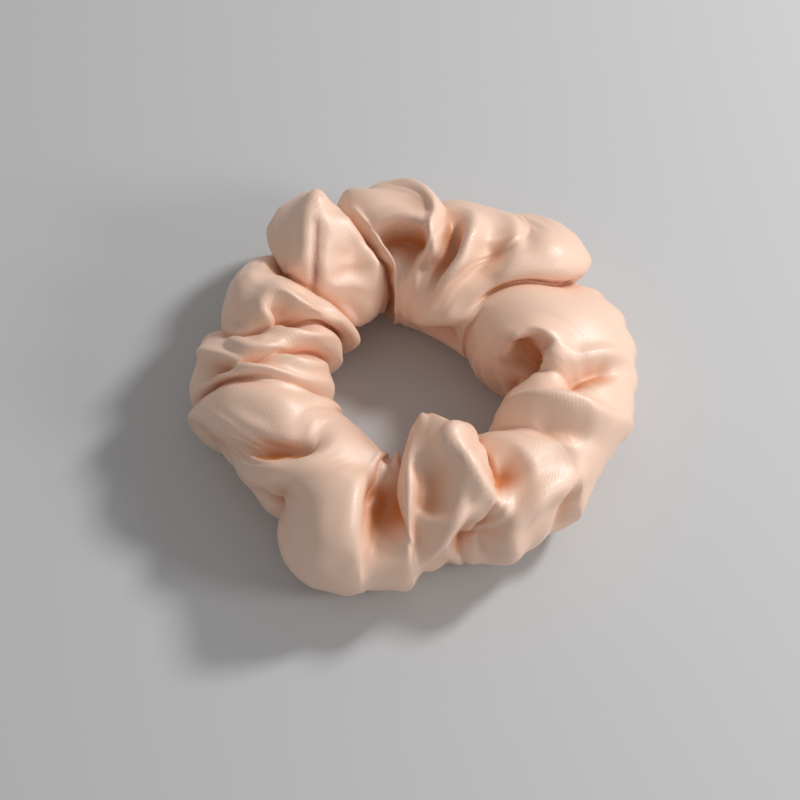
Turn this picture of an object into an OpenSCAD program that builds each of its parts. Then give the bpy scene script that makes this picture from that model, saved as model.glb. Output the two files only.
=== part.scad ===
// Satin scrunchie: a gathered fabric sleeve over a sewn ring of flat elastic.
// The origin is on the table, on the axis of the ring. +Z is up and +Y is the
// way that one side is pulled to open the ring.

/* [Ring] */
// Diameter of the circle that the middle of the sleeve follows
ring_d = 72; // [66:1:90]

/* [Sleeve] */
// Width of the gathered sleeve, from the hole to the outer edge
sleeve_w = 31; // [28:0.5:34]
// Height of the gathered sleeve before its weight flattens it
sleeve_h = 32; // [30:0.5:35]
// How far the weight of the sleeve flattens its underside
table_press = 1.2; // [0.6:0.1:2]
// Thickness of the sewn satin
satin_t = 0.6; // [0.4:0.1:0.9]
// Depth of the valleys between the puffs: 1 is as sewn
gather_share = 1; // [0.6:0.05:1.05]
// Fullness of the puffs: 1 is as sewn, and more satin gives more
puff_share = 1; // [0.6:0.05:1.1]

/* [Elastic] */
// Width of the flat elastic
elastic_w = 7; // [5:0.5:8]
// Thickness of the flat elastic
elastic_t = 1; // [0.6:0.1:1.4]
// Length over which the two ends of the elastic lie on each other
elastic_lap = 14; // [10:1:20]

/* [Thread] */
// Diameter of the sewing thread
thread_d = 0.5; // [0.3:0.05:0.7]
// Length of one stitch
stitch_l = 3; // [2:0.25:4]

/* [Hidden] */
$fn = 96;

// Clearance between the satin and the elastic inside it
seat_gap = 1.2;
// Clearance between the satin and the threads
thread_gap = 0.5;
// Space between the two sides of the sleeve, where they part
side_gap = 0.3;

// Each valley between two puffs, anticlockwise from the right: its angle at the outer
// edge, on top and at the hole, its depth at those three places, below 0 where it stands
// out, how far the puff before it hangs over the puff after it, in degrees, and how soft
// it is, from 0, a sharp crease
valleys = [[-14, -13, -4, 0.5, 3, 4, 0, 0.6], [38, 36, 50, 8, 8, -5, -10, 0],
           [65, 50, 74, 1, 0.8, -6, 3, 1], [88, 78, 87, 4.5, 2, -5.5, 4, 0.9],
           [107, 85, 97, -1, 0.5, -4, 3, 1], [116, 116, 103, 6.5, 8, 5, -6, 0],
           [132, 143, 136, 6.5, 7, 4, 6, 0], [164, 172, 148, 5, 5, 4, 2, 0],
           [177, 185, 168, 1, 4, 3, 6, 0], [189, 192, 203, 5, 5, 4, 3, 0],
           [196, 226, 212, 2.5, 3, 0.5, -5, 0.9], [228, 234, 246, 8, 2, 1, -3, 0.8],
           [258, 252, 255, -2, 10, 2, 3, 0], [270, 265, 264, 0.5, 10, 2, -9, 0],
           [283, 299, 298, 7.5, 5, 5, 1, 0.2], [317, 323, 311, 0.5, 3, 3, 1, 0.8]];
// Each puff, which follows its valley: its rise at the outer edge, on top and at the hole,
// the place of its crest across it, and its fullness beside the crest, more for less
puffs = [[0.5, -1, 6, 0.5, 0.8], [3, 0.5, 6, 0.5, 0.8], [-2.5, -0.5, 6, 0.5, 0.8],
         [2.5, 1, 5.5, 0.5, 1], [1.5, -0.5, 2, 0.5, 1], [4, 1.5, -1.5, 0.42, 1],
         [-2.5, 1.5, 2.5, 0.4, 1.1], [-1, -0.5, 2.5, 0.5, 1.1], [0.5, -1, 2, 0.5, 1.1],
         [1.5, -2, 2, 0.45, 0.8], [-5.5, 0.5, 3, 0.5, 1], [4.2, -1, -1.5, 0.55, 0.75],
         [0.5, -10.5, 0, 0.5, 0.85], [-6, 3, 7, 0.6, 0.8], [-2, -2, -1, 0.5, 1],
         [-3, 0.5, -1, 0.5, 1]];
// Rings of points on each puff
puff_steps = [10, 6, 6, 5, 5, 8, 7, 5, 5, 8, 6, 8, 4, 8, 8, 8];
// Each fold drawn on the puffs: its rise, or its depth where that is below 0, its widths to
// the left and the right of its line, and the points of the line, as angles round the ring
// and round the sleeve
folds = [[2.5, 6, 7, [[117, 49], [122, 75], [128, 90]]],
         [-2.5, 6, 7, [[132, 60], [138, 71], [142, 90]]],
         [-2.5, 7, 8, [[119, 99], [120, 126], [123, 144]]],
         [3, 3.5, 6, [[113, 45], [111, 86], [105, 131], [102, 156]]],
         [-2.5, 4, 3.5, [[150, 107], [151, 120], [149, 141]]],
         [2.5, 3.5, 4, [[155, 96], [158, 109], [157, 137], [147, 176]]],
         [-3, 3.5, 3.5, [[162, 101], [165, 111], [166, 131]]],
         [-2, 3.5, 6, [[200, -6], [213, 62], [225, 86], [229, 107], [220, 139]]],
         [2, 5, 9, [[256, 114], [253, 64], [249, 39], [244, 15]]],
         [3, 3.5, 4.5, [[267, 126], [267, 90], [268, 54], [269, 19]]],
         [-4, 6, 7, [[277, 118], [277, 88], [274, 62]]],
         [4, 4.5, 4, [[287, 126], [289, 101], [293, 75], [298, 43]]],
         [2.5, 3.5, 5, [[287, 62], [281, 52], [276, 28], [271, 2]]],
         [-3.5, 4, 4, [[284, -4], [284, 38], [289, 47]]],
         [-3, 6, 6, [[303, 111], [303, 84], [302, 68]]],
         [2.5, 5, 5, [[300, 38], [309, 49], [320, 36]]],
         [3.5, 5, 3.5, [[358, 174], [362, 150], [367, 133], [367, 118], [361, 105], [354, 111], [350, 129]]],
         [-4, 4.5, 4, [[5, 122], [0, 138]]],
         [3, 9, 3.5, [[92, 188], [69, 174], [36, 150], [27, 114], [31, 68]]],
         [-3, 3.5, 5, [[87, 204], [65, 189], [27, 154], [20, 120]]],
         [3, 4, 5, [[69, 79], [65, 111], [64, 128], [72, 150], [86, 167]]],
         [-3, 4, 4, [[76, 86], [72, 114], [72, 133], [82, 150]]],
         [3.5, 4.5, 3.5, [[109, 92], [101, 96], [91, 98], [82, 111], [82, 126], [88, 139], [93, 152]]],
         [-5, 7, 8, [[109, 107], [97, 116], [89, 128], [96, 142]]]];
n_puffs = len(puffs);
split = 9; // The valley where the far side ends and the near side starts
closing_at = 5.5; // The closing seam crosses the middle of this puff

ring_r = ring_d / 2;
half_w = sleeve_w / 2;
half_h = sleeve_h / 2;
mid_z = half_h - table_press;
hole_depth = gather_share * max([for (row = valleys) row[5]]);
elastic_r = ring_r - half_w + hole_depth + satin_t + seat_gap;
full_height = 8; // Height above its valley at which a puff hangs over by its full angle
fold_span = 75; // No fold reaches further round the ring than this from its first point
fold_end = 0.3; // Share of a fold's line over which it fades at each end
thread_inset = satin_t + thread_gap + thread_d / 2;
seam_v = -40; // The long seam runs round the sleeve below its outer edge
seam_bare = 3; // Angle that is left bare at each end of the long seam
lap_at = 270; // Angle of the lapped ends of the elastic round the ring
lap_trim = 0.2; // Width trimmed off each edge of the lapped end
tack_gap = 0.05; // Space between the tack and the elastic
tack_width = 0.3; // Half width of the tack's zigzag, as a share of the elastic's width
tack_steps = 10; // Points on each turn of the zigzag

section_n = 28; // Points round the sleeve
thread_n = 6; // Points round a thread

function mix(a, b, t) = a + (b - a) * t;
function wrapped(i) = i - n_puffs * floor(i / n_puffs);

// Value at an angle v round the sleeve, from those at its outer edge, top and hole,
// which stand in a row from place i. The underside takes the mean of outer edge and hole
function around(row, i, v) =
    let (mean = (row[i] + row[i + 2]) / 2)
    mean + (row[i] - row[i + 2]) / 2 * cos(v) + (row[i + 1] - mean) * pow(max(0, sin(v)), 1.5);

// Angle of a valley round the ring, at an angle v round the sleeve
function valley_angle(i, v) = around(valleys[wrapped(i)], 0, v) + 360 * floor(i / n_puffs);

// Depth of a valley at an angle v round the sleeve, shallower on the underside
function valley_depth(i, v) =
    gather_share * around(valleys[wrapped(i)], 3, v) * (1 + 0.5 * min(0, sin(v)));

// Way across a puff at the share t of the cloth between its two valleys
function way(t) = 0.35 * (1 - cos(180 * t)) + 0.3 * t;

// Height of a puff at s as a share of its rise: it climbs to its crest and falls to the next
// valley, and runs out flat into a soft one
function crown(s) =
    let (k = floor(s + 1e-6),
         puff = puffs[wrapped(k)],
         place = pow(max(0, s - k), ln(0.5) / ln(puff[3])),
         up = sin(180 * place),
         soft = valleys[wrapped(place < 0.5 ? k : k + 1)][7])
    up <= 0 ? 0 : mix(pow(up, puff[4]), pow(up, 2), soft);

// Depth of the two valleys beside a puff, mixed across it at s
function valley_at(s, v) =
    let (k = floor(s + 1e-6))
    mix(valley_depth(k, v), valley_depth(k + 1, v), way(max(0, s - k)));

// Rise of a puff above the plain sleeve: s counts puffs round the ring and v is the angle
// round the sleeve
function puff_rise(s, v) =
    let (k = floor(s + 1e-6),
         h = crown(s))
    puff_share * around(puffs[wrapped(k)], 0, v) * h - valley_at(s, v) * (1 - h);

// Angle round the ring, with the hang of a puff over its valley
function turn_at(s, v) =
    let (k = floor(s + 1e-6),
         f = way(max(0, s - k)),
         height = max(0, puff_rise(s, v) + valley_at(s, v)) / full_height,
         on_top = min(1, max(0, 0.5 + 0.5 * sin(v) + 0.3 * cos(v))),
         hang = mix(valleys[wrapped(k)][6], valleys[wrapped(k + 1)][6], f))
    mix(valley_angle(k, v), valley_angle(k + 1, v), f) + hang * min(1.4, height) * on_top;

// An angle in the half turn to each side of 0
function turned(a) = a - 360 * round(a / 360);

// Strength of a fold at a place, from one stretch of its line: full on the line, none at the
// fold's widths, and less towards its ends
function fold_share(fold, i, turn, v) =
    let (a = fold[3][i],
         b = fold[3][i + 1],
         scale = PI / 180 * [ring_r + half_w * cos(v), half_h],
         place = [turned(turn - a.x) * scale.x, turned(v - a.y) * scale.y],
         along = [(b.x - a.x) * scale.x, (b.y - a.y) * scale.y],
         t = min(1, max(0, place * along / (along * along))),
         off = place - t * along,
         x = min(1, norm(off) / (cross(along, off) > 0 ? fold[1] : fold[2])),
         at = (i + t) / (len(fold[3]) - 1),
         end = min(1, at / fold_end, (1 - at) / fold_end))
    pow(1 - x * x, 2) * mix(0.25, 1, end * end * (3 - 2 * end));

// Rise of one fold at a place
function fold_rise(fold, turn, v) =
    abs(turned(turn - fold[3][0].x)) > fold_span ? 0 :
    fold[0] * max([for (i = [0 : len(fold[3]) - 2]) fold_share(fold, i, turn, v)]);

function sum(list, i = 0) = i < len(list) ? list[i] + sum(list, i + 1) : 0;

// Rise of the outer face above the plain sleeve, with the folds
function rise_at(s, v) =
    let (turn = turn_at(s, v))
    puff_rise(s, v) + puff_share * sum([for (fold = folds) fold_rise(fold, turn, v)]);

// A point of the outer face of the sleeve. The table flattens the underside at z = 0
function face_point(s, v) =
    let (rise = rise_at(s, v),
         turn = turn_at(s, v),
         reach = ring_r + (half_w + rise) * cos(v))
    [reach * cos(turn), reach * sin(turn), max(0, mid_z + (half_h + rise) * sin(v))];

// Direction out of the sleeve, across the lines through the neighbouring points
function face_normal(s, v) =
    let (along = face_point(s + 0.02, v) - face_point(s - 0.02, v),
         round = face_point(s, v + 2) - face_point(s, v - 2),
         out = cross(along, round))
    out / norm(out);

// A point of the sleeve at the depth inset below its outer face
function sleeve_point(s, v, inset) =
    inset == 0 ? face_point(s, v) : face_point(s, v) - inset * face_normal(s, v);

// Ring of points round the outer face of the sleeve at s
function section(s) = [for (j = [0 : section_n - 1]) face_point(s, 360 * j / section_n)];

// Point j of ring i at the depth of the satin below it, straight in from the lines through
// the neighbouring points
function inner_point(rings, i, j) =
    let (along = rings[min(len(rings) - 1, i + 1)][j] - rings[max(0, i - 1)][j],
         round = rings[i][(j + 1) % section_n] - rings[i][(j + section_n - 1) % section_n],
         out = cross(along, round))
    rings[i][j] - satin_t * out / norm(out);

// Triangles between neighbouring rings of n points, from ring a to ring b,
// turned inside out for an inner wall
function skin(first, rings, n, inside = false) =
    [for (i = [0 : rings - 2], j = [0 : n - 1])
        let (a = first + i * n + j,
             b = first + i * n + (j + 1) % n,
             c = b + n,
             d = a + n)
        each inside ? [[a, c, b], [a, d, c]] : [[a, b, c], [a, c, d]]];

// Triangles that join an outer end ring to the inner one that faces it
function rim(outer, inner, n, start) =
    [for (j = [0 : n - 1])
        let (a = outer + j, b = outer + (j + 1) % n, c = inner + (j + 1) % n, d = inner + j)
        each start ? [[a, c, b], [a, d, c]] : [[a, b, c], [a, c, d]]];

// Places of the rings of points from one valley to another
function stations(from, to) =
    [for (k = [from : to - 1], i = [0 : puff_steps[k] - 1]) k + i / puff_steps[k], to];

// One side of the sleeve: a gathered tube of satin, open at both ends
module sleeve(from, to) {
    outer = [for (s = stations(from, to)) section(s)];
    rings = len(outer);
    inner = rings * section_n;
    last = inner - section_n;
    polyhedron(points = [each [for (ring = outer) each ring],
                         each [for (i = [0 : rings - 1], j = [0 : section_n - 1])
                             inner_point(outer, i, j)]],
               faces = concat(skin(0, rings, section_n),
                              skin(inner, rings, section_n, true),
                              rim(0, inner, section_n, true),
                              rim(last, inner + last, section_n, false)));
}

module far_side() {
    translate([0, side_gap / 2, 0]) children();
}

module near_side() {
    translate([0, -side_gap / 2, 0]) children();
}

module sleeve_far() {
    color("#ecc3ae") far_side() sleeve(0, split);
}

module sleeve_near() {
    color("#ecc3ae") near_side() sleeve(split, n_puffs);
}

// Ring of points round a thread at p, for a thread that runs along t
function thread_ring(p, t, side) =
    let (across = cross(t, side) / norm(cross(t, side)),
         above = cross(across, t) / norm(t))
    [for (j = [0 : thread_n - 1])
        let (a = 360 * j / thread_n)
        p + thread_d / 2 * (cos(a) * across + sin(a) * above)];

// Thread swept along a path whose direction is never that of side
module thread(path, side) {
    last = len(path) - 1;
    rings = [for (i = [0 : last])
        thread_ring(path[i], path[min(last, i + 1)] - path[max(0, i - 1)], side)];
    caps = [[for (j = [thread_n - 1 : -1 : 0]) j],
            [for (j = [0 : thread_n - 1]) last * thread_n + j]];
    color("#dcae98") polyhedron(points = [for (r = rings) each r],
                                faces = concat(skin(0, last + 1, thread_n), caps));
}

// Thread that pulls the long seam tight: it lies under the deepest valley and bridges
// the puffs, from one valley to another
module long_seam(from, to) {
    depth = min([for (s = stations(from, to)) rise_at(s, seam_v)]) - thread_inset;
    start = valley_angle(from, seam_v) + seam_bare;
    end = valley_angle(to, seam_v) - seam_bare;
    color("#dcae98") translate([0, 0, mid_z + (half_h + depth) * sin(seam_v)])
        rotate([0, 0, start]) rotate_extrude(angle = end - start)
            translate([ring_r + (half_w + depth) * cos(seam_v), 0]) circle(d = thread_d);
}

// Strip of elastic, bent to a ring, with its two ends lapped on the near side.
// The end that lies on top is trimmed a little narrower
module elastic_band() {
    lap_angle = elastic_lap / elastic_r * 180 / PI;
    color("#f5f2ee") translate([0, 0, mid_z]) {
        rotate_extrude() translate([elastic_r, -elastic_w / 2])
            square([elastic_t, elastic_w]);
        rotate([0, 0, lap_at - lap_angle / 2]) rotate_extrude(angle = lap_angle)
            translate([elastic_r + elastic_t / 2, lap_trim - elastic_w / 2])
                square([elastic_t * 1.5, elastic_w - 2 * lap_trim]);
    }
}

// Zigzag that sews the lapped ends of the elastic to each other
module elastic_tack() {
    r = elastic_r + 2 * elastic_t + tack_gap + thread_d / 2;
    sewn = elastic_lap - stitch_l;
    turns = sewn / stitch_l;
    steps = round(turns * tack_steps);
    thread([for (i = [0 : steps])
               let (a = lap_at + (i / steps - 0.5) * sewn / r * 180 / PI,
                    z = mid_z + elastic_w * tack_width * sin(360 * turns * i / steps))
               [r * cos(a), r * sin(a), z]], [cos(lap_at), sin(lap_at), 0]);
}

module long_seam_far() {
    far_side() long_seam(0, split);
}

module long_seam_near() {
    near_side() long_seam(split, n_puffs);
}

// Seam that closes the sleeve, round the inside of one puff
module closing_seam() {
    middle = sleeve_point(closing_at, 0, 0);
    far_side() thread([for (j = [1 : section_n - 1])
                          sleeve_point(closing_at, seam_v + 360 * j / section_n, thread_inset)],
                      [-middle.y, middle.x, 0]);
}

sleeve_far();
sleeve_near();
elastic_band();
elastic_tack();
long_seam_far();
long_seam_near();
closing_seam();
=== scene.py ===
"""Satin scrunchie: a gathered satin sleeve over a ring of flat elastic, lying on a pale floor."""

import logging
import math
from dataclasses import astuple, dataclass
from enum import Enum
from typing import Any

import bpy
import numpy as np
from bpy.types import ID, Material, Node, NodeSocket, NodeTree, Object
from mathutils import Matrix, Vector


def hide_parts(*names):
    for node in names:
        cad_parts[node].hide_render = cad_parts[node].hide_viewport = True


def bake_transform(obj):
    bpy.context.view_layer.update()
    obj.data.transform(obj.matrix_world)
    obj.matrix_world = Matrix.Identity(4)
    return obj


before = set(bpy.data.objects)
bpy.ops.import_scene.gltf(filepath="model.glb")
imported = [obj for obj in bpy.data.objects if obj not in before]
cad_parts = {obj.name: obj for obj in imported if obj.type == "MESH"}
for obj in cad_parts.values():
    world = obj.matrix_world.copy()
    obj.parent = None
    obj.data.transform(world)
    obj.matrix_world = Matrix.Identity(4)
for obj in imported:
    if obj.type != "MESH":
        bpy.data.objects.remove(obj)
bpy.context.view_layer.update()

MM = 0.001  # metres in a millimetre, the unit of every size below
WAVE_RATE = 20  # radians of a Wave texture for each unit of its input
ASIDE = (0.31, 0.17, 0.94)  # a direction that no thread runs in
LINE_POINTS = 40  # points of the smooth line of a fold
FADE, LEFT_OVER = 0.3, 0.25  # share of a fold's line that fades at each end, and to what
THREAD_SIDES = 8
THREAD_ENDS = (0.4, 0.85)  # sizes of a thread's last two rings
LOG = logging.getLogger("scrunchie")
Grid = np.ndarray
Pair = tuple[float, float]
Triple = tuple[float, float, float]


class Way(Enum):
    """A direction in the grid of the cloth, as the axis of its arrays."""

    RING = 1
    GIRTH = 2


class Slot(Enum):
    """Names of three material slots."""

    SATIN = "satin"
    ELASTIC = "elastic"
    THREAD = "thread"


class Body(Enum):
    """The names of the ring's near and far sides."""

    NEAR = "near_side"
    FAR = "far_side"


class Layer(Enum):
    """The values that the mesh of the sleeve hands to its material."""

    # share of painted shade in a fold, from how deep the point lies
    DEPTH = "fold_depth"
    SEWN = "sewn_line"


def linear(colour: str) -> tuple[float, float, float, float]:
    """Turns an sRGB hex colour to linear light.

    Args:
        colour: the colour as "#rrggbb".

    Returns:
        Red, green, blue and an alpha of 1, all linear.
    """
    parts = [int(colour[i : i + 2], 16) / 255 for i in (1, 3, 5)]
    red, green, blue = [
        c / 12.92 if c <= 0.04045 else ((c + 0.055) / 1.055) ** 2.4 for c in parts
    ]
    return red, green, blue, 1.0


def add_node(tree: NodeTree, kind: str, **values: Any) -> Node:
    """Adds a node with its settings, its constants and its links.

    Args:
        tree: the material's node tree.
        kind: the node's type name, without "ShaderNode".
        values: node settings by name; a key that starts with "in_" names an input by its
            place or name, and its value is a constant or the socket to link.

    Returns:
        The new node.
    """
    node = tree.nodes.new("ShaderNode" + kind)
    for key, value in values.items():
        if not key.startswith("in_"):
            setattr(node, key, value)
            continue
        name = key[3:]
        socket = node.inputs[int(name) if name.isdigit() else name]
        if isinstance(value, NodeSocket):
            tree.links.new(value, socket)
        else:
            socket.default_value = value
    return node


@dataclass(frozen=True)
class Finish:
    """What the finishes share: a Principled shader, with a flat map of the cloth."""

    roughness: float
    bump: Pair = (0.0, 0.0)  # strength, and depth in millimetres

    def start(self, name: str) -> tuple[Material, Node]:
        """Makes a material that holds only a Principled shader and its output.

        Args:
            name: the material's name.

        Returns:
            The material and its shader node.
        """
        material = bpy.data.materials.new(name)
        material.use_nodes = True
        shader = material.node_tree.nodes["Principled BSDF"]
        shader.inputs["Roughness"].default_value = self.roughness
        return material, shader

    def bands(
        self, tree: NodeTree, turn: float, period: float, distortion: float = 0.0
    ) -> NodeSocket:
        """Adds slanting bands on the flat cloth.

        Args:
            tree: the material's node tree.
            turn: how far the bands are turned, in degrees.
            period: distance from band to band, in millimetres.
            distortion: how uneven the bands are.

        Returns:
            The socket that holds the bands, from 0 to 1.
        """
        uv = add_node(tree, "UVMap", uv_map="cloth").outputs["UV"]
        turned = add_node(tree, "Mapping", in_Vector=uv, in_Rotation=(0, 0, math.radians(turn)))
        scale = 2 * math.pi / (WAVE_RATE * period * MM)
        place = turned.outputs[0]
        wave = add_node(tree, "TexWave", in_Vector=place, in_Scale=scale, in_Distortion=distortion)
        return wave.outputs["Fac"]

    def plied(self, shader: Node, height: NodeSocket, low: str, high: str) -> None:
        """Colours and bumps a shader by the height of its yarn.

        Args:
            shader: the shader.
            height: the socket that holds the height, from 0 to 1.
            low: the tone at 0.
            high: the tone at 1.
        """
        tree, (strength, depth) = shader.id_data, self.bump
        tones = {"in_0": height, "in_6": linear(low), "in_7": linear(high)}
        mix = add_node(tree, "Mix", data_type="RGBA", **tones)
        tree.links.new(mix.outputs[2], shader.inputs["Base Color"])
        form = {"in_Strength": strength, "in_Distance": depth * MM, "in_Height": height}
        bump = add_node(tree, "Bump", **form)
        tree.links.new(bump.outputs[0], shader.inputs["Normal"])


@dataclass(frozen=True)
class SatinFinish(Finish):
    """Polyester satin, woven with long floats: a soft broad gloss, fine twill lines and grain."""

    roughness: float = 0.5
    bump: Pair = (0.28, 0.05)
    uneven: float = 0.06  # how far the grain changes the roughness
    light: str = "#F3CFB8"
    # painted shade of the deep folds, with their painted orange glow; also the tone of faint
    # random clouds
    fold: str = "#CE7C3A"
    seam: str = "#A66E58"
    tint: float = 0.12  # share of the fold tone that comes and goes in faint clouds
    tint_scale: float = 45.0
    twill_mm: float = 0.75  # real lines are about 0.45 mm apart, too fine to show
    twill_turn: float = 63.0
    twill_wander: float = 0.4
    grain_mm: float = 0.6  # real grain is the yarn, 0.2 mm, too fine to show
    grain_share: float = 2.4  # height of the grain over that of the twill
    sheen: str = "#FFE6D8"

    def material(self) -> Material:
        """Builds the satin.

        The colour goes from the light tone to the fold tone in deep folds: painted shade,
        with a painted orange glow of light that bounces between the folds and shines through
        the cloth. The bump is twill lines across the girth and yarn grain.

        Returns:
            The material.
        """
        material, shader = self.start("polyester_satin_blush")
        tree = material.node_tree
        uv = add_node(tree, "UVMap", uv_map="cloth").outputs["UV"]
        # The attributes: the share of painted fold shade, and the seam line
        deep, sewn = (
            add_node(tree, "Attribute", attribute_name=layer.value).outputs["Fac"]
            for layer in Layer
        )
        clouds, grain = (
            add_node(tree, "TexNoise", in_Vector=uv, in_Scale=scale, in_Detail=fine).outputs["Fac"]
            for scale, fine in ((self.tint_scale, 2.0), (1 / (self.grain_mm * MM), 1.0))
        )
        twill = self.bands(tree, self.twill_turn, self.twill_mm, self.twill_wander)
        # depth: the painted fold shade, plus faint random clouds of the fold tone
        depth, woven = (
            add_node(tree, "Math", operation="MULTIPLY_ADD", in_0=a, in_1=b, in_2=c).outputs[0]
            for a, b, c in ((clouds, self.tint, deep), (grain, self.grain_share, twill))
        )
        tone = linear(self.light)
        # Mix in the painted fold shade, then the seam line
        for share, other in ((depth, self.fold), (sewn, self.seam)):
            tones = {"in_0": share, "in_6": tone, "in_7": linear(other)}
            tone = add_node(tree, "Mix", data_type="RGBA", **tones).outputs[2]
        tree.links.new(tone, shader.inputs["Base Color"])
        strength, deepest = self.bump
        form = {"in_Strength": strength, "in_Distance": deepest * MM, "in_Height": woven}
        bump = add_node(tree, "Bump", **form)
        tree.links.new(bump.outputs[0], shader.inputs["Normal"])
        low, high = self.roughness - self.uneven, self.roughness + self.uneven
        gloss = add_node(tree, "MapRange", in_0=grain, in_1=0.3, in_2=0.7, in_3=low, in_4=high)
        tree.links.new(gloss.outputs[0], shader.inputs["Roughness"])
        shader.inputs["IOR"].default_value = 1.56
        shader.inputs["Specular IOR Level"].default_value = 1.0
        shader.inputs["Sheen Weight"].default_value = 0.2
        shader.inputs["Sheen Roughness"].default_value = 0.35
        shader.inputs["Sheen Tint"].default_value = linear(self.sheen)
        return material


@dataclass(frozen=True)
class ElasticFinish(Finish):
    """Braided flat elastic: matt white yarn in fine slanting plaits."""

    roughness: float = 0.75
    bump: Pair = (0.6, 0.15)
    yarn: str = "#F3EFEA"
    gap: str = "#CFC8C0"
    plait_mm: float = 0.9
    plait_turn: float = 32.0

    def material(self) -> Material:
        """Builds the braid: two slanting sets of bands give the plait's colour and bump.

        Returns:
            The material.
        """
        material, shader = self.start("braided_elastic_white")
        tree = material.node_tree
        a, b = (self.bands(tree, side * self.plait_turn, self.plait_mm) for side in (1, -1))
        plait = add_node(tree, "Math", operation="MAXIMUM", in_0=a, in_1=b).outputs[0]
        self.plied(shader, plait, self.gap, self.yarn)
        return material


@dataclass(frozen=True)
class ThreadFinish(Finish):
    """Spun polyester sewing thread: two plies twisted together, with little gloss."""

    roughness: float = 0.6
    bump: Pair = (0.5, 0.08)
    ply: str = "#DDAE97"
    groove: str = "#B9836B"
    twist_mm: float = 0.8
    twist_turn: float = 30.0

    def material(self) -> Material:
        """Builds the thread: slanting bands are its twist, in colour and bump.

        Returns:
            The material.
        """
        material, shader = self.start("spun_polyester_thread")
        twist = self.bands(material.node_tree, self.twist_turn, self.twist_mm)
        self.plied(shader, twist, self.groove, self.ply)
        return material


@dataclass(frozen=True)
class FloorFinish(Finish):
    """Smooth pale grey floor paper, matt and without a pattern."""

    roughness: float = 0.9
    paper: str = "#C9CACB"
    shade: float = 0.97  # the darkest of the paper's faint unevenness

    def material(self) -> Material:
        """Builds the paper, with a faint unevenness of tone.

        Returns:
            The material.
        """
        material, shader = self.start("floor_paper_grey")
        tree = material.node_tree
        place = add_node(tree, "TexCoord").outputs["Object"]
        cloud = add_node(tree, "TexNoise", in_Vector=place, in_Scale=3.0, in_Detail=1.0)
        paper = linear(self.paper)
        dark = tuple(c * self.shade for c in paper[:3]) + (1.0,)
        tones = {"in_0": cloud.outputs["Fac"], "in_6": dark, "in_7": paper}
        mix = add_node(tree, "Mix", data_type="RGBA", **tones)
        tree.links.new(mix.outputs[2], shader.inputs["Base Color"])
        return material


def angles(count: int) -> Grid:
    """Angles that share out a full turn."""
    return 2 * np.pi * np.arange(count) / count


def eased(share: Grid) -> Grid:
    """Shares kept from 0 to 1, with soft ends: 3 times the square less 2 times the cube."""
    share = np.clip(share, 0, 1)
    return share * share * (3 - 2 * share)


def unit(rows: Grid) -> Grid:
    """Rows of vectors, brought to a length of 1."""
    return rows / np.linalg.norm(rows, axis=1, keepdims=True)


def polar(reach: Grid, turn: Grid, z: Grid, axis: int = -1) -> Grid:
    """Points from their distances from the ring's axis, their angles round it and heights."""
    return np.stack(np.broadcast_arrays(reach * np.cos(turn), reach * np.sin(turn), z), axis)


def smooth_line(points: Grid, count: int) -> Grid:
    """A smooth curve through points: each stretch is a cubic set by its four nearest points.

    Args:
        points: the points, one row each.
        count: how many points to give back.

    Returns:
        Points evenly spread over the stretches.
    """
    ends = np.vstack([2 * points[0] - points[1], points, 2 * points[-1] - points[-2]])
    place = np.linspace(0, len(points) - 1, count)
    k = np.minimum(place.astype(int), len(points) - 2)
    u = (place - k)[:, None]
    a, b, c, d = ends[k], ends[k + 1], ends[k + 2], ends[k + 3]
    return b + 0.5 * u * (c - a + u * (2 * a - 5 * b + 4 * c - d + u * (3 * (b - c) + d - a)))


def blurred(field: Grid, width: float, way: int) -> Grid:
    """Blurs a field that runs on round its ends, by a bell curve.

    Args:
        field: the values on the grid.
        width: the bell's standard deviation, in grid steps.
        way: the axis to blur along.

    Returns:
        The blurred field.
    """
    count = field.shape[way]
    shape = [1] * field.ndim
    shape[way] = -1
    bell = np.exp(-2 * (np.pi * np.fft.rfftfreq(count) * width) ** 2).reshape(shape)
    return np.fft.irfft(np.fft.rfft(field, axis=way) * bell, count, way).astype(field.dtype)


def length(field: Grid) -> Grid:
    """Length of the vectors of a field whose first axis is x, y and z."""
    return np.sqrt((field * field).sum(0)) + np.float32(1e-9)


def outward(points: Grid) -> Grid:
    """Directions out of a closed grid: across the lines through the neighbours both ways."""
    ring, girth = (np.roll(points, -1, w.value) - np.roll(points, 1, w.value) for w in Way)
    across = np.cross(ring, girth, axis=0)
    return across / length(across)


def grid(columns: int, rows: int, size: Pair, closed: tuple[bool, bool]) -> tuple[Grid, Grid]:
    """Quads between the neighbouring points of a grid that is stored column by column.

    Args:
        columns: points along the first way.
        rows: points along the second way.
        size: millimetres from the grid's start to its end along each way.
        closed: whether each way runs on from its end to its start.

    Returns:
        Four point numbers for each quad, and the places of their corners on the flat cloth in
        metres.
    """
    across, along = columns - (not closed[0]), rows - (not closed[1])
    i, j = np.meshgrid(np.arange(across), np.arange(along), indexing="ij")
    i, j = np.stack([i, i + 1, i + 1, i], -1), np.stack([j, j, j + 1, j + 1], -1)
    faces = i % columns * rows + j % rows
    uv = np.stack([i * (size[0] * MM / across), j * (size[1] * MM / along)], -1)
    return faces.reshape(-1, 4), uv.reshape(-1, 2)


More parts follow.
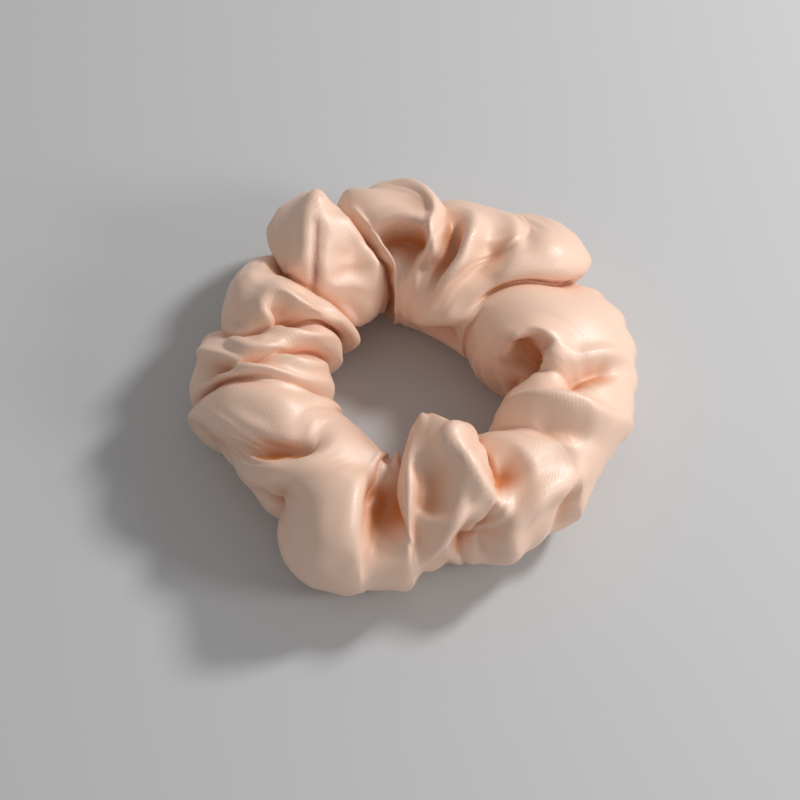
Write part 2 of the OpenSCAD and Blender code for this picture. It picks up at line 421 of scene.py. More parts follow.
def make_piece(
    name: str, points: Grid, faces: Grid, uv: Grid, caps: tuple[Grid, ...] = ()
) -> Object:
    """Puts arrays into a smooth mesh with a map of the flat cloth.

    Args:
        name: the piece's name.
        points: places in millimetres, one row for each point.
        faces: point numbers of each quad.
        uv: places on the flat cloth of each quad's corners.
        caps: point numbers round each end that a flat face closes.

    Returns:
        The piece, at the origin.
    """
    mesh = bpy.data.meshes.new(name)
    mesh.from_pydata((points * MM).tolist(), [], faces.tolist() + [c.tolist() for c in caps])
    mesh.polygons.foreach_set("use_smooth", np.ones(len(mesh.polygons), bool))
    flat = np.concatenate([uv] + [np.zeros((len(c), 2)) for c in caps])
    mesh.uv_layers.new(name="cloth").data.foreach_set("uv", flat.astype(np.float32).ravel())
    piece = bpy.data.objects.new(name, mesh)
    bpy.context.scene.collection.objects.link(piece)
    return piece


def strip(name: str, points: Grid, size: Pair, closed: bool) -> Object:
    """Makes a piece of the rings of points along a strip or thread.

    Args:
        name: the piece's name.
        points: places in millimetres: rings along the first axis, round them along the second.
        size: length and girth in millimetres.
        closed: whether the last ring joins the first, or else flat caps close the ends.

    Returns:
        The piece.
    """
    columns, rows = points.shape[:2]
    faces, uv = grid(columns, rows, size, (closed, True))
    ring = np.arange(rows)
    caps = () if closed else (ring, columns * rows - 1 - ring)
    return make_piece(name, points.reshape(-1, 3), faces, uv, caps)


def tube(name: str, path: Grid, diameter: float, closed: bool) -> Object:
    """Carries a circle along a path: a thread.

    At each point of the path the circle lies across the path's direction. An open path gets
    a small rounded end from two shrinking rings.

    Args:
        name: the piece's name.
        path: points of the path in millimetres, one row each.
        diameter: diameter of the thread.
        closed: whether the path runs on from its end to its start.

    Returns:
        The piece.
    """
    ahead = np.roll(path, -1, 0) - np.roll(path, 1, 0)
    size = np.full(len(path), diameter / 2)
    if not closed:
        ahead[0], ahead[-1] = path[1] - path[0], path[-1] - path[-2]
        for n, share in enumerate(THREAD_ENDS):
            size[[n, -1 - n]] *= share
    ahead = unit(ahead)
    out = unit(np.cross(ahead, ASIDE))
    above = np.cross(out, ahead)
    turn = angles(THREAD_SIDES)[None, :, None]
    ring = np.cos(turn) * out[:, None] + np.sin(turn) * above[:, None]
    run = np.linalg.norm(np.diff(path, axis=0), axis=1).sum()
    points = path[:, None] + size[:, None, None] * ring
    return strip(name, points, (run, np.pi * diameter), closed)


def follow(piece: Object, slot: Slot, material: Material, *nodes: str) -> None:
    """Dresses a piece, bakes its transform into its mesh and hides the CAD nodes that it stands
    for.

    Args:
        piece: the piece, with its final mesh.
        slot: not used.
        material: its material.
        nodes: the CAD nodes that it stands for.
    """
    piece.data.materials.append(material)
    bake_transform(piece)
    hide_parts(*nodes)
    LOG.info("%s: %d faces", piece.name, len(piece.data.polygons))


@dataclass
class Cloth:
    """A closed grid of cloth points that settles step by step under its own lengths.

    Every step moves the points on, then pulls each thread of the grid to its own length, keeps
    the bends near those of the start, and pushes apart layers that come too near. The shares
    say how much of an error is mended at a time.
    """

    points: Grid
    layer_gap: float = 1.0
    swell: float = 0.004
    speed: float = 0.85  # share of its last move that a point goes on by
    reached: float = 0.6  # share of the steps after which the new lengths are reached
    turns: int = 4  # how often the lengths are mended in each step
    strides: tuple[int, ...] = (2, 4)  # steps between the points whose distances hold the bends
    beside: int = 3  # steps within which points are neighbours in the cloth
    look_every: int = 3  # steps from one search for near layers to the next
    look_reach: float = 1.6  # reach of that search, in gaps between layers
    taut_share: float = 0.5
    slack_share: float = 0.3
    brace_share: float = 0.05
    bend_share: float = 0.1
    part_share: float = 0.45
    hold_share: float = 0.02
    iron_share: float = 0.25

    def span(self, stride: int, way: Way) -> Grid:
        """Distance from each point to the one some steps on."""
        return length(np.roll(self.points, -stride, way.value) - self.points)

    def pull(self, lengths: Grid, stride: tuple[int, int], share: float) -> None:
        """Moves the points some steps apart towards their own distance.

        Args:
            lengths: the distance that each pair should have.
            stride: how many steps along the ring and the girth the points of a pair are apart.
            share: how much of the error is mended.
        """
        axes = (Way.RING.value, Way.GIRTH.value)
        gap = np.roll(self.points, (-stride[0], -stride[1]), axes) - self.points
        size = length(gap)
        gap *= (size - lengths) / size * np.float32(share / 2)
        self.points += gap
        self.points -= np.roll(gap, stride, axes)

    def tighten(self, lengths: Grid, way: Way) -> None:
        """Gives neighbours their own distance, every second pair first and then the others.

        A stretched thread gets its length at once, and a slack one most of it.

        Args:
            lengths: the distance that each pair should have.
            way: the way of the threads.
        """
        axis = way.value
        taut, slack = np.float32(self.taut_share), np.float32(self.slack_share)
        for odd in (0, 1):
            firsts = np.moveaxis(self.points, axis, 0)[odd::2]
            others = np.moveaxis(self.points, axis, 0)[1 - odd :: 2]
            gap = (np.roll(others, -1, 0) if odd else others) - firsts
            size = np.sqrt((gap * gap).sum(1, keepdims=True)) + np.float32(1e-9)
            error = (size - np.moveaxis(lengths, axis - 1, 0)[odd::2][:, None]) / size
            gap *= error * np.where(error > 0, taut, slack)
            firsts += gap
            others -= np.roll(gap, 1, 0) if odd else gap

    def near_pairs(self, reach: float) -> tuple[Grid, Grid]:
        """Pairs of points that are near in space but not in the cloth.

        The points are sorted into cubes with edges of the reach, and each is compared with
        those in its own cube and in half of the cubes round it.

        Args:
            reach: the largest distance of a pair.

        Returns:
            The numbers of the first and second points of the pairs.
        """
        _, columns, rows = self.points.shape
        flat = self.points.reshape(3, -1)
        cube = ((flat - flat.min(1)[:, None]) / reach).astype(np.int64) + 1
        size = cube.max(1) + 2
        key = (cube[0] * size[1] + cube[1]) * size[2] + cube[2]
        order = np.argsort(key, kind="stable")
        key = key[order]
        spots = np.arange(len(key))
        ahead = [(x, y, z) for x in (0, 1) for y in (-1, 0, 1) for z in (-1, 0, 1)]
        firsts, seconds = [], []
        for x, y, z in [a for a in ahead if a >= (0, 0, 0)]:
            step = (x * size[1] + y) * size[2] + z
            start = np.searchsorted(key, key + step, "left") if step else spots + 1
            count = np.searchsorted(key, key + step, "right") - start
            first = np.repeat(spots, count)
            before = np.repeat(np.cumsum(count) - count, count)
            second = np.arange(len(first)) - before + np.repeat(start, count)
            firsts.append(order[first])
            seconds.append(order[second])
        a, b = np.concatenate(firsts), np.concatenate(seconds)
        ring = np.abs(a // rows - b // rows)
        girth = np.abs(a % rows - b % rows)
        steps = np.maximum(np.minimum(ring, columns - ring), np.minimum(girth, rows - girth))
        a, b = a[steps > self.beside], b[steps > self.beside]
        near = length(flat[:, a] - flat[:, b]) < reach
        return a[near], b[near]

    def part(self, a: Grid, b: Grid) -> None:
        """Pushes apart the pairs of points that are nearer than the gap between layers.

        Args:
            a: numbers of the first points.
            b: numbers of the second points.
        """
        flat = self.points.reshape(3, -1)
        way = flat[:, a] - flat[:, b]
        size = length(way)
        close = size < self.layer_gap
        a, b, way, size = a[close], b[close], way[:, close], size[close]
        way *= (self.layer_gap - size) / size * np.float32(self.part_share)
        total = flat.shape[1]
        met = np.bincount(a, minlength=total) + np.bincount(b, minlength=total)
        shares = np.sqrt(np.maximum(met, 1))
        for axis in range(3):
            push = np.bincount(a, way[axis], total) - np.bincount(b, way[axis], total)
            flat[axis] += (push / shares).astype(np.float32)

    def settle(self, lengths: dict[Way, Grid], steps: int) -> None:
        """Lets the cloth settle while its threads go from their own lengths to new ones.

        Args:
            lengths: the new lengths of the threads each way.
            steps: how many steps to take.
        """
        own = {way: self.span(1, way) for way in Way}
        rods = [
            ((n, 0) if way is Way.RING else (0, n), self.span(n, way))
            for n in self.strides
            for way in Way
        ]
        aim, last = self.points.copy(), self.points.copy()
        for step in range(steps):
            part = np.float32(min(1.0, step / (self.reached * steps)))
            now = {way: own[way] + (lengths[way] - own[way]) * part for way in Way}
            across = np.hypot(now[Way.RING], now[Way.GIRTH])
            move = (self.points - last) * np.float32(self.speed)
            last = self.points.copy()
            self.points += move + outward(self.points) * np.float32(self.swell)
            if step % self.look_every == 0:
                pairs = self.near_pairs(self.layer_gap * self.look_reach)
            for turn in range(self.turns):
                for way in Way:
                    self.tighten(now[way], way)
                for side in (1, -1):
                    self.pull(across, (1, side), 2 * self.brace_share)
                for stride, rest in rods:
                    self.pull(rest, stride, self.bend_share)
                if turn % 2:
                    self.part(*pairs)
                self.points += (aim - self.points) * np.float32(self.hold_share)
                np.maximum(self.points[2], 0, out=self.points[2])

    def iron(self, times: int) -> None:
        """Takes out the smallest creases.

        Each point goes part of the way to its neighbours' middle, and its neighbours go back.

        Args:
            times: how often this is done.
        """
        for axis in [way.value for way in Way] * times:
            ahead, behind = np.roll(self.points, -1, axis), np.roll(self.points, 1, axis)
            move = ((ahead + behind) / 2 - self.points) * np.float32(self.iron_share)
            self.points += move
            self.points -= (np.roll(move, 1, axis) + np.roll(move, -1, axis)) / 2


@dataclass(frozen=True)
class Valley:
    """A valley between two puffs.

    Three values are at the outer edge, on top and at the hole. The overhang is how far the
    puff before hangs over the puff after, and a soft valley of 1 has no crease.
    """

    turn: Triple
    depth: Triple
    overhang: float
    soft: float


@dataclass(frozen=True)
class Puff:
    """A puff between two valleys.

    Three rises are at the outer edge, on top and at the hole. The crest is its place across
    the puff, and a smaller peak value makes the puff fuller beside its crest.
    """

    rise: Triple
    crest: float
    peak: float


@dataclass(frozen=True)
class Fold:
    """A ridge or crease drawn on the sleeve.

    The line is in degrees round the ring and round the sleeve, where 0 is the outer edge,
    90 the top and 180 the hole. The rise falls to nothing over the two widths, and the lean
    moves the fold to its left. On the settled cloth the degrees count the columns and rows
    of the grid.
    """

    line: tuple[Pair, ...]
    rise: float
    left: float
    right: float
    sharp: float = 0.0
    lean: float = 0.0
    sewn: bool = False

    def strength(self, far: Grid, side: Grid, at: Grid) -> Grid:
        """Share of the rise: 1 on the line, less to both sides and towards the ends.

        Args:
            far: distances from the line.
            side: above 0 to the left of the line.
            at: places of the nearest points along the line, from 0 to 1.

        Returns:
            The shares.
        """
        x = np.clip(far / np.where(side > 0, self.left, self.right), 0, 1)
        share = (1 - self.sharp) * (1 - x * x) ** 2 + self.sharp * (1 - x) ** 2 * (1 + 0.5 * x)
        ends = eased(np.minimum(at, 1 - at) / FADE)
        return share * (LEFT_OVER + (1 - LEFT_OVER) * ends)


@dataclass(frozen=True)
class Calm:
    """A place where the cloth is drawn smooth, in degrees round the ring and the sleeve."""

    turn: Pair
    v: Pair
    width: float
    edges: Pair = (8, 24)  # over which each way fades


def rows_of(kind: type, *rows: tuple) -> tuple:
    """Things of one kind, from the rows of their values."""
    return tuple(kind(*row) for row in rows)


VALLEYS = rows_of(
    Valley,
    ((-14, -13, -4), (0.5, 3, 4), 0, 0.6),
    ((38, 36, 50), (8, 8, -5), -10, 0),
    ((65, 50, 74), (1, 0.8, -6), 3, 1),
    ((88, 78, 87), (4.5, 2, -5.5), 4, 0.9),
    ((107, 85, 97), (-1, 0.5, -4), 3, 1),
    ((116, 116, 103), (6.5, 8, 5), -6, 0),
    ((132, 143, 136), (6.5, 7, 4), 6, 0),
    ((164, 172, 148), (5, 5, 4), 2, 0),
    ((177, 185, 168), (1, 4, 3), 6, 0),
    ((189, 192, 203), (5, 5, 4), 3, 0),
    ((196, 226, 212), (2.5, 3, 0.5), -5, 0.9),
    ((228, 234, 246), (8, 2, 1), -3, 0.8),
    ((258, 252, 255), (-2, 10, 2), 3, 0.1),
    ((270, 265, 264), (0.5, 10, 2), -9, 0.1),
    ((283, 299, 298), (7.5, 5, 5), 1, 0.2),
    ((317, 323, 311), (0.5, 3, 3), 1, 0.8),
)
PUFFS = rows_of(
    Puff,
    ((0.5, -1, 6), 0.5, 0.8),
    ((3, 0.5, 6), 0.5, 0.8),
    ((-2.5, -0.5, 6), 0.5, 0.8),
    ((2.5, 1, 5.5), 0.5, 1),
    ((1.5, -0.5, 2), 0.5, 1),
    ((4, 1.5, -1.5), 0.42, 1),
    ((-2.5, 1.5, 2.5), 0.4, 1.1),
    ((-1, -0.5, 2.5), 0.5, 1.1),
    ((0.5, -1, 2), 0.5, 1.1),
    ((1.5, -2, 2), 0.45, 0.8),
    ((-5.5, 0.5, 3), 0.5, 1),
    ((4.2, -1, -1.5), 0.55, 0.75),
    ((0.5, -10.5, 0), 0.5, 0.85),
    ((-6, 3, 7), 0.6, 0.8),
    ((-2, -2, -1), 0.5, 1),
    ((-3, 0.5, -1), 0.5, 1),
)
# Folds that are drawn before the cloth settles
FOLDS = rows_of(
    Fold,
    # Upper left puff: crown, left of the join, left face, right plane, right edge, front
    # bulge, fold at its foot, top pinch
    (((117, 49), (122, 75), (128, 90)), 3, 6, 7, 0.5),
    (((123, 64), (130, 81), (137, 94), (142, 112)), 2, 3.5, 7, 0.2),
    (((132, 60), (138, 71), (142, 90)), -3.2, 6, 7),
    (((119, 99), (120, 126), (123, 144)), -3.2, 7, 8),
    (((113, 45), (111, 86), (105, 131), (102, 156)), 3.6, 2.2, 6, 0.6, 1.6),
    (((117, 161), (125, 189), (146, 171)), 2.4, 6, 6),
    (((150, 107), (151, 120), (149, 141)), -3, 4, 3, 0.3),
    (((112, 13), (116, 69), (115, 81)), -2.5, 4, 4, 0.3),
    # Second left pleat: pleat upper, pleat left, hollow
    (((155, 96), (158, 109), (157, 137), (147, 176)), 3, 2.5, 4, 0.4),
    (((155, 96), (164, 92), (168, 103), (171, 128), (158, 159)), 2.8, 2.5, 2.5, 0.4),
    (((162, 101), (165, 111), (166, 131)), -3.5, 2.6, 2.6, 0.1),
    # First left pleat: round, crease
    (((162, 58), (156, 66), (152, 79)), 1.6, 5, 5),
    (((164, 41), (168, 60), (168, 81)), -1.6, 3, 3, 0.4),
    # Third left pleat: ridge
    (((169, 56), (181, 82), (183, 112), (186, 141), (163, 189)), 2.8, 3, 2.5, 0.5),
    # Fourth left pleat: ridge, hollow
    (((183, 22), (177, 28), (183, 62), (192, 98), (197, 135), (192, 174)), 2.8, 2.5, 3, 0.5),
    (((188, 36), (185, 51), (187, 73)), -3.2, 3, 3, 0.4),
    # Left dome: top ridge, trough, low ridge, notch
    (((194, 38), (194, 69), (204, 101), (225, 112)), 1.5, 7, 7),
    (((200, -6), (213, 62), (225, 86), (229, 107), (220, 139)), -2.6, 3.2, 6, 0.3),
    (((207, -26), (224, 47), (234, 79), (239, 114)), 1.2, 6, 7),
    (((223, 24), (225, 6), (233, 28)), -3.5, 3, 3, 0.5),
    # Lower left puff: top curl, right edge, left face, crest
    (((247, 141), (253, 139), (260, 133)), 2.4, 3, 5, 0.4),
    (((258, 129), (255, 75), (256, 39), (258, 19)), 2, 2.5, 6, 0.5, 1),
    (((231, 58), (235, 38), (240, 26)), -2.5, 9, 9),
    (((256, 114), (253, 64), (249, 39), (244, 15)), 2.4, 5, 9, 0.3),
    # Front flap: left edge, face hollow, top left, ridge, low edge, right hollow
    (((267, 128), (268, 90), (268, 54), (269, 19)), 3.8, 2, 4.5, 0.7, 0.5),
    (((277, 118), (277, 88), (274, 62)), -5, 6, 7),
    (((269, 137), (272, 146), (280, 137)), 3, 5, 5, 0.2),
    (((287, 126), (289, 101), (293, 75), (298, 43)), 4.8, 4.5, 4, 0.4),
    (((287, 62), (281, 52), (276, 28), (271, 2)), 3.2, 2.5, 5, 0.6),
    (((284, -4), (284, 38), (289, 47)), -4.5, 4, 4, 0.2),
    # Lower right puff: pit, ridge, low crease, low ridge, right crease
    (((303, 111), (303, 84), (302, 68)), -4, 6, 6),
    (((300, 38), (309, 49), (320, 36)), 3, 5, 5, 0.3),
    (((290, 39), (290, 19), (289, -11)), -3.6, 4, 4, 0.3),
    (((297, 39), (295, 17), (296, -26)), 2.4, 5, 5, 0.3),
    (((310, -24), (314, 15), (320, 21)), -2.6, 5, 5, 0.2),
    # Right puff: crest, hollow
    (((329, 144), (332, 112), (337, 84), (339, 54), (346, 0)), 3.4, 3, 8, 0.5, 0.5),
    (((325, 111), (328, 79), (332, 49)), -2.2, 4, 4),
    # Hook puff: hook ridge, hook dimple, low hollow, low ridge
    (((358, 174), (362, 150), (367, 133), (367, 118), (361, 105), (354, 111), (350, 129)),
     4.4, 5, 2.2, 0.4, -1),
    (((1, 128), (-2, 137), (-8, 154)), -9, 4.5, 4, 0.2),
    (((341, 98), (350, 77), (357, 39)), -3.6, 4, 4, 0.1),
    (((345, 120), (354, 90), (358, 62), (362, 24)), 2, 4, 3, 0.3),
    # Upper right puff: ridge, groove, swirl, swirl back, hollow, tip edge, tip fold, face
    # hollow
    (((69, 79), (65, 111), (64, 128), (72, 150), (86, 167)), 3.6, 4, 5, 0.4),
    (((76, 86), (72, 114), (72, 133), (82, 150)), -3.6, 4, 4, 0.1),
    (((109, 92), (101, 96), (91, 98), (82, 111), (82, 126), (88, 139), (93, 152)),
     4.4, 4.5, 2, 0.6, -1.2),
    (((81, 81), (77, 103), (78, 124), (83, 144)), 1.6, 3, 3.5, 0.3),
    (((109, 107), (97, 116), (89, 128), (96, 142)), -7, 7, 8),
    (((62, 38), (52, 79), (45, 99)), 1.8, 3, 4, 0.4),
    (((50, 60), (40, 71), (34, 56)), 1.2, 6, 6, 0.1),
    (((59, 99), (53, 120), (51, 142)), -2.8, 6, 6),
)
# Folds that are drawn on the settled cloth
LATE_FOLDS = rows_of(
    Fold,
    # Upper left puff: closing seam, tip
    (((126, 60), (129.8, 86.2), (132, 97.5), (135, 108.8), (138.8, 120), (146.2, 135)),
     -1.3, 1.5, 2.2, 0.6, 0, True),
    (((128.2, 71.2), (126, 60)), 2.2, 4, 4, 0.6),
    # Upper right puff: lower edge, under, fan, fan groove
    (((95.2, 180), (71.3, 172.5), (51, 165), (39.8, 153.7)), 2.6, 7, 2.2, 0.3),
    (((87, 198.8), (64.5, 187.5), (45, 172.5)), -4.5, 3.6, 6),
    (((75.8, 82.5), (72.7, 112.5), (70.5, 138.8), (78.8, 168.8)), 1.8, 3, 4, 0.4),
    (((79.5, 93.8), (76.5, 116.2), (74.2, 138.8), (80.2, 157.5)), -2.2, 2.8, 2.8, 0.1),
    # Lower left puff: rim line
    (((247.5, -3.8), (256.5, 18.8), (259.5, 15), (262.5, 11.2), (265.5, 3.7)),
     -0.9, 1.2, 1.8, 0.5),
    # Front flap: top right
    (((298.5, 127.5), (300.7, 112.5), (317.2, 172.5), (303, 90)), 2.4, 4, 5, 0.2),
    # Left dome: deep trough
    (((221.2, 37.5), (218.2, 63.8), (221.2, 86.2), (230.3, 101.2), (226.5, 120)),
     -1.8, 2.6, 4, 0.2),
    # Hook puff: slit, left rim
    (((14.2, 127.5), (12, 138.8), (3.7, 157.5)), -3.5, 2.2, 2.2, 0.2),
    (((9, 150), (12.8, 142.5), (15.8, 131.2), (15.8, 123.8)), 1.8, 2.2, 2, 0.5),
)
CALMS = rows_of(
    Calm,
    ((44, 98), (150, 262), 22),
    ((214, 252), (105, 262), 14),
    ((222, 240), (50, 112), 4),
)


@dataclass
class Sleeve:
    """The tube of satin, gathered over the elastic in puffs."""

    ring_r: float = 36.0
    half_w: float = 15.5
    half_h: float = 16.0
    mid_z: float = 14.8
    satin_t: float = 0.35
    columns: int = 480
    rows: int = 96
    full_height: float = 8.0  # of a puff that hangs over by its valley's whole overhang
    gather_count: int = 44
    gather_rise: float = 2.0
    cut: Pair = (95.0, 400.0)
    even: float = 4.0  # how far thread lengths are averaged, in grid steps
    steps: int = 40
    closing_turn: float = 2.2  # where the closing seam lies round the ring, in radians
    # Widths in grid steps and depths of the folds that count as deep and take the painted fold
    # shade
    shade_cavities: tuple[Pair, ...] = ((6, 2.2), (16, 4.5))

    @property
    def girth_r(self) -> float:
        """Mean radius of the sleeve's section."""
        return (self.half_w + self.half_h) / 2

    def around(self, values: Grid, v: Grid) -> Grid:
        """Values round the sleeve from those at its outer edge, top and hole.

        The underside takes the mean of the outer edge and the hole.

        Args:
            values: the three values on the last axis.
            v: angles round the sleeve.

        Returns:
            The values at those angles.
        """
        outer, top, hole = (values[..., i : i + 1] for i in range(3))
        mean = (outer + hole) / 2
        lift = np.maximum(0, np.sin(v)) ** 1.5
        return mean + (outer - hole) / 2 * np.cos(v) + (top - mean) * lift

    def shares(self, turns: Grid, depths: Grid) -> tuple[Grid, Grid]:
        """Shares the columns out among the puffs by the length of cloth in each.

        Args:
            turns: angles of the valleys and of the first again, a full turn on.
            depths: depths of the puffs' crests above their valleys.

        Returns:
            Each column's puff and its place across it from 0 to 1.
        """
        reach = self.ring_r + np.array([self.half_w, 4, 2 - self.half_w])
        width = (np.radians(np.maximum(np.diff(turns, axis=0), 3)) * reach).max(1)
        cloth = np.sqrt(width**2 / 4 + depths.max(1) ** 2)
        ends = np.concatenate([[0], np.cumsum(cloth)]) / cloth.sum() * self.columns
        column = np.arange(self.columns, dtype=float)
        puff = np.minimum(np.searchsorted(ends, column, "right") - 1, len(cloth) - 1)
        return puff, (column - ends[puff]) / (ends[puff + 1] - ends[puff])

    def puffed(self) -> tuple[Grid, Grid, Grid]:
        """The puffs alone: each rises from one valley to its crest and falls to the next.

        Across a puff the rise is a sine to the power of its peak, and a squared sine beside a
        soft valley. The valleys are half as deep on the underside.

        Returns:
            Angle round the ring, angle round the sleeve and rise above the plain tube of
            every point of the grid.
        """
        turns, depths, hangs, softs = (
            np.array(x + x[:1], float) for x in zip(*map(astuple, VALLEYS))
        )
        turns[-1] += 360
        rises, crest, peak = (np.array(x, float) for x in zip(*map(astuple, PUFFS)))
        crests = np.maximum((depths[:-1] + depths[1:]) / 2 + rises, 2)
        k, t = self.shares(turns, crests)
        v = angles(self.rows)
        way = (0.35 * (1 - np.cos(np.pi * t)) + 0.3 * t)[:, None]
        across = t ** (math.log(0.5) / np.log(crest[k]))
        up = np.sin(np.pi * across)
        soft = np.where(across < 0.5, softs[k], softs[k + 1])
        crown = ((1 - soft) * up ** peak[k] + soft * up**2)[:, None]
        under = 1 + 0.5 * np.minimum(0, np.sin(v))
        turn, depth = (
            self.around(x[k], v) * (1 - way) + self.around(x[k + 1], v) * way
            for x in (turns, depths)
        )
        depth = depth * under
        rise = self.around(rises[k], v) * crown - depth * (1 - crown)
        height = np.clip((rise + depth) / self.full_height, 0, 1.4)
        on_top = np.clip(0.5 + 0.5 * np.sin(v) + 0.3 * np.cos(v), 0, 1)
        hang = (hangs[k][:, None] * (1 - way) + hangs[k + 1][:, None] * way) * height * on_top
        return np.radians(turn + hang), v + 0 * turn, rise

    def drawn(self, fold: Fold, turn: Grid, v: Grid) -> tuple[Grid, Grid, Grid]:
        """Strength of a fold over the grid, and the direction to its left.

        The line is a smooth curve through its points. The strength is 1 on the line, falls
        off to both sides and fades towards the ends.

        Args:
            fold: the fold.
            turn: angles round the ring.
            v: angles round the sleeve.

        Returns:
            Strength, and the two parts of the left direction, round the ring and the sleeve.
        """
        line = np.radians(smooth_line(np.array(fold.line, float), LINE_POINTS))
        reach, line_reach = (self.ring_r + self.half_w * np.cos(x) for x in (v, line[:, 1]))
        scale = np.stack([line_reach, 0 * line_reach + self.girth_r], -1)
        ahead = unit(np.gradient(line, axis=0) * scale)
        best = np.full(turn.shape, np.inf)
        side, at = np.zeros_like(turn), np.zeros(turn.shape, int)
        for n, (line_turn, line_v) in enumerate(line):
            x, y = ((a + np.pi) % (2 * np.pi) - np.pi for a in (turn - line_turn, v - line_v))
            x, y = x * (reach + line_reach[n]) / 2, y * self.girth_r
            far = np.hypot(x, y)
            nearer = far < best
            best[nearer] = far[nearer]
            side[nearer] = (ahead[n, 0] * y - ahead[n, 1] * x)[nearer]
            at[nearer] = n
        strength = fold.strength(best, side, at / (len(line) - 1))
        return strength, -ahead[at, 1], ahead[at, 0]

    def traced(self, fold: Fold, points: Grid) -> Grid:
        """Strength of a late fold over the settled cloth, by distances in space.

        Cloth that faces the other way, as the far side of a puff does, is left alone.

        Args:
            fold: the fold.
            points: the settled points.

        Returns:
            Its strength at every point of the grid.
        """
        line = smooth_line(np.array(fold.line, float), LINE_POINTS)
        line = line / 360 * (self.columns, self.rows)
        i, j = np.floor(line).astype(int).T
        a, b = (line % 1).T
        out = outward(points)
        low, high = ((0, 1 - a), (1, a)), ((0, 1 - b), (1, b))
        shares = [(m, n, p * q) for n, q in high for m, p in low]
        marks, faces = (
            sum(x[:, (i + m) % self.columns, (j + n) % self.rows] * w for m, n, w in shares)
            for x in (points, out)
        )
        left = np.cross(faces, np.gradient(marks, axis=1), axis=0)
        best = np.full(points.shape[1:], np.inf)
        side, at, facing = (np.zeros(points.shape[1:]) for _ in range(3))
        for n in range(len(line)):
            gap = points - marks[:, n, None, None]
            far = length(gap)
            nearer = far < best
            best[nearer] = far[nearer]
            side[nearer] = (gap * left[:, n, None, None]).sum(0)[nearer]
            facing[nearer] = (out * faces[:, n, None, None]).sum(0)[nearer]
            at[nearer] = n / (len(line) - 1)
        return fold.strength(best, side, at) * np.clip(2 * facing, 0, 1)

    def gathers(self, turn: Grid, v: Grid) -> Grid:
        """Small gathers down the back and the outer sides, where the elastic draws the cloth in.

        They are rounded ridges with sharp creases between: the size of a sine along the ring,
        whose spacing and strength vary along the ring. They fade out towards the top and the
        front, which hold the drawn folds, and on the underside.

        Args:
            turn: angles round the ring.
            v: angles round the sleeve.

        Returns:
            Their rise at every point of the grid.
        """
        uneven = 1.5 * np.sin(2 * turn + 1) + 1.1 * np.sin(5 * turn + 2.4) + 0.3 * np.sin(2 * v)
        ridge = np.abs(np.sin(self.gather_count / 2 * turn + uneven)) - 0.6
        seen = 0.87 * np.sin(v) - 0.5 * np.cos(v) * np.sin(turn)
        fade = np.clip((0.35 - seen) / 0.6, 0, 1) * np.clip((np.sin(v) + 1) / 0.3, 0, 1)
        strength = 0.7 + 0.3 * np.sin(3 * turn + 0.7)
        return self.gather_rise * ridge * strength * eased(fade)

    def folded(self) -> tuple[Grid, Grid, Grid]:
        """The puffs with the early folds drawn on them, before the cloth settles.

        Returns:
            The points of the grid, x, y and z first, and their angles round the ring and the
            sleeve.
        """
        turn, v, rise = self.puffed()
        lift, shift_turn, shift_v = (np.zeros_like(turn) for _ in range(3))
        reach = self.ring_r + self.half_w * np.cos(v)
        for fold in FOLDS:
            strength, left_turn, left_v = self.drawn(fold, turn, v)
            lift += fold.rise * strength
            shift_turn += fold.lean * strength * left_turn / reach
            shift_v += fold.lean * strength * left_v / self.girth_r
        lift += self.gathers(turn, v)
        rise, turn, v = rise + lift, turn + shift_turn, v + shift_v
        reach = self.ring_r + (self.half_w + rise) * np.cos(v)
        z = np.maximum(0, self.mid_z + (self.half_h + rise) * np.sin(v))
        return self.calmed(polar(reach, turn, z, 0), turn, v), turn, v

    def calmed(self, points: Grid, turn: Grid, v: Grid) -> Grid:
        """Draws the cloth smooth along the ring where its gathers lie side by side.

        Args:
            points: the points of the grid.
            turn: their angles round the ring.
            v: their angles round the sleeve.

        Returns:
            The points, blurred along the ring inside the calm places.
        """
        for calm in CALMS:
            inside = np.ones_like(turn)
            for angle, (start, end), soft in zip((turn, v), (calm.turn, calm.v), calm.edges):
                degrees = np.degrees(angle) % 360
                inside *= eased(np.minimum(degrees - start, end - degrees) / soft + 0.5)
            inside = blurred(blurred(inside, 2, 0), 1, 1)
            points = points + (blurred(points, calm.width, 1) - points) * inside
        points[2] = np.maximum(points[2], 0)
        return points.astype(np.float32)

    def settled(self) -> tuple[Grid, Grid]:
        """Lets the folded cloth settle and draws the late folds on it.

        Along each way the lengths of neighbouring threads are evened out, as in woven cloth,
        and the cloth that is over in one thread and short in the next goes into small folds.

        Returns:
            The points of the grid, and the share of a sewn line at each: the middle of each
            sewn fold.
        """
        points, turn, v = self.folded()
        cloth = Cloth(points)
        ring, girth = (cloth.span(1, way) for way in Way)
        lengths = {
            Way.RING: blurred(blurred(ring, 2, 0), self.even, 1),
            Way.GIRTH: blurred(blurred(girth, 2, 1), self.even, 0),
        }
        cloth.settle(lengths, self.steps)
        cloth.points = self.calmed(cloth.points, turn, v)
        cloth.iron(2)
        lift, sewn = (np.zeros(points.shape[1:]) for _ in range(2))
        for fold in LATE_FOLDS:
            strength = self.traced(fold, cloth.points)
            lift += fold.rise * strength
            sewn = np.maximum(sewn, fold.sewn * np.clip(1.6 * strength - 0.3, 0, 1))
        way = outward(blurred(blurred(cloth.points, 2, 1), 2, 2))
        cloth.points += (lift * way).astype(np.float32)
        cloth.iron(1)
        cloth.points[2] = np.maximum(cloth.points[2], 0)
        return cloth.points, sewn

    def build(self, finish: SatinFinish) -> Grid:
        """Folds the sleeve, lets it settle, makes it a closed shell of two layers and dresses it.

        Args:
            finish: the satin.

        Returns:
            The outer points round the closing seam, one row each.
        """
        points, sewn = self.settled()
        out = outward(points)
